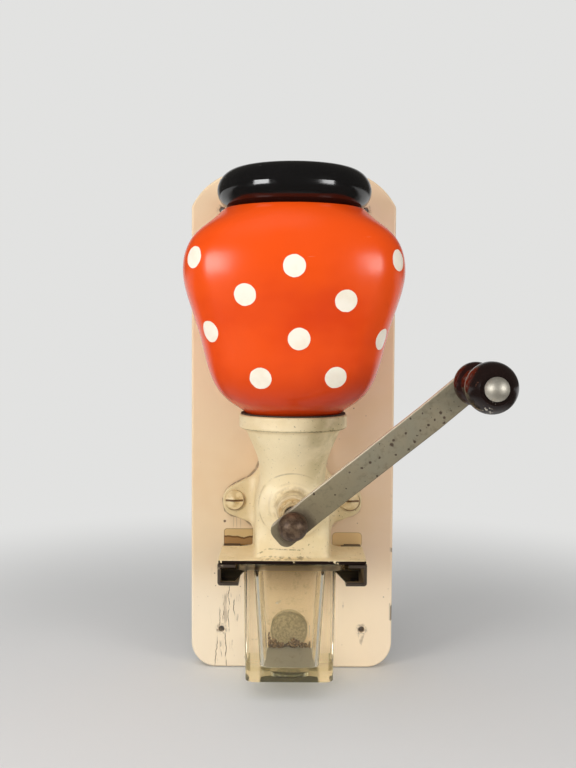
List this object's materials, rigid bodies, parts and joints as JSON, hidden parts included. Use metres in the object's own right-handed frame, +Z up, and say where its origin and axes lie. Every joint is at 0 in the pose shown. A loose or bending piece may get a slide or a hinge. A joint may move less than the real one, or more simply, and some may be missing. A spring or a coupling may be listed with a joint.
{
  "type": "wall coffee mill",
  "caption": "Wall-mounted coffee mill: painted backboard, dotted ceramic hopper with lift-off lid, cast body with burrs, side crank with a turning knob and a sliding glass drawer.",
  "frame": {"origin": "centre of the four wall-screw holes, on the flat back face of the backboard that lies on the wall", "axes": "+X to the right seen from the front, +Y into the wall, +Z up; the crank shaft runs along Y and the knob is at the front, towards -Y"},
  "size_m": [0.1834, 0.2259, 0.352],
  "materials": {
    "board_paint": "satin",
    "casting_paint": "satin",
    "screw_paint": "satin",
    "hopper_glaze": "gloss",
    "gasket": "matte",
    "clamp_steel": "satin",
    "lid_black": "gloss",
    "bare_steel": "satin",
    "bush_brass": "satin",
    "burr_iron": "satin",
    "crank_steel": "satin",
    "nut_brown": "gloss",
    "rail_brown": "satin",
    "knob_wood": "gloss",
    "clear_glass": "gloss"
  },
  "bodies": {
    "base": {"backboard": "board_paint", "mill_housing": "casting_paint", "housing_screws": "screw_paint", "hopper_gasket": "gasket", "hopper": "hopper_glaze", "clamp_pad": "gasket", "clamp_ring": "clamp_steel", "clamp_screws": "clamp_steel", "ring_burr": "burr_iron", "rear_bridge": "bare_steel", "bridge_screws": "bare_steel", "front_bush": "bush_brass", "rear_bush": "bush_brass", "rail_left": "rail_brown", "rail_right": "rail_brown", "rail_rivets": "rail_brown"},
    "cover": {"lid": "lid_black"},
    "drawer": {"glass_jar": "clear_glass"},
    "washer": {"thrust_washer": "bare_steel"},
    "adjuster": {"adjusting_nut": "bare_steel"},
    "crank": {"drive_shaft": "bare_steel", "feed_worm": "burr_iron", "cone_burr": "burr_iron", "cross_pins": "bare_steel", "adjusting_spring": "bare_steel", "crank_arm": "crank_steel", "cap_nut": "nut_brown", "knob_spindle": "bare_steel", "knob_washer": "bare_steel"},
    "grip": {"knob": "knob_wood"}
  },
  "joints": [
    {"name": "lid_lift", "type": "slide", "parent": "base", "child": "cover", "axis": [0, 0, 1], "range_m": [0, 0.04]},
    {"name": "jar_slide", "type": "slide", "parent": "base", "child": "drawer", "axis": [0, -1, 0], "range_m": [0, 0.052]},
    {"name": "crank_turn", "type": "hinge", "parent": "base", "child": "washer", "pos_m": [0, -0.1, -0.0479], "axis": [0, -1, 0], "continuous": true},
    {"name": "adjust_turn", "type": "hinge", "parent": "washer", "child": "adjuster", "pos_m": [0, -0.11, -0.0479], "axis": [0, -1, 0], "range_deg": [0, 270]},
    {"name": "grind_travel", "type": "slide", "parent": "washer", "child": "crank", "axis": [0, -1, 0], "range_m": [0, 0.00075], "deforming": ["adjusting_spring"]},
    {"name": "knob_spin", "type": "hinge", "parent": "crank", "child": "grip", "pos_m": [0.09854, -0.19, 0.03567], "axis": [0, -1, 0], "continuous": true}
  ],
  "couplings": [
    {"joint": "adjust_turn", "follows": "grind_travel", "rad_per_m": 6283}
  ]
}
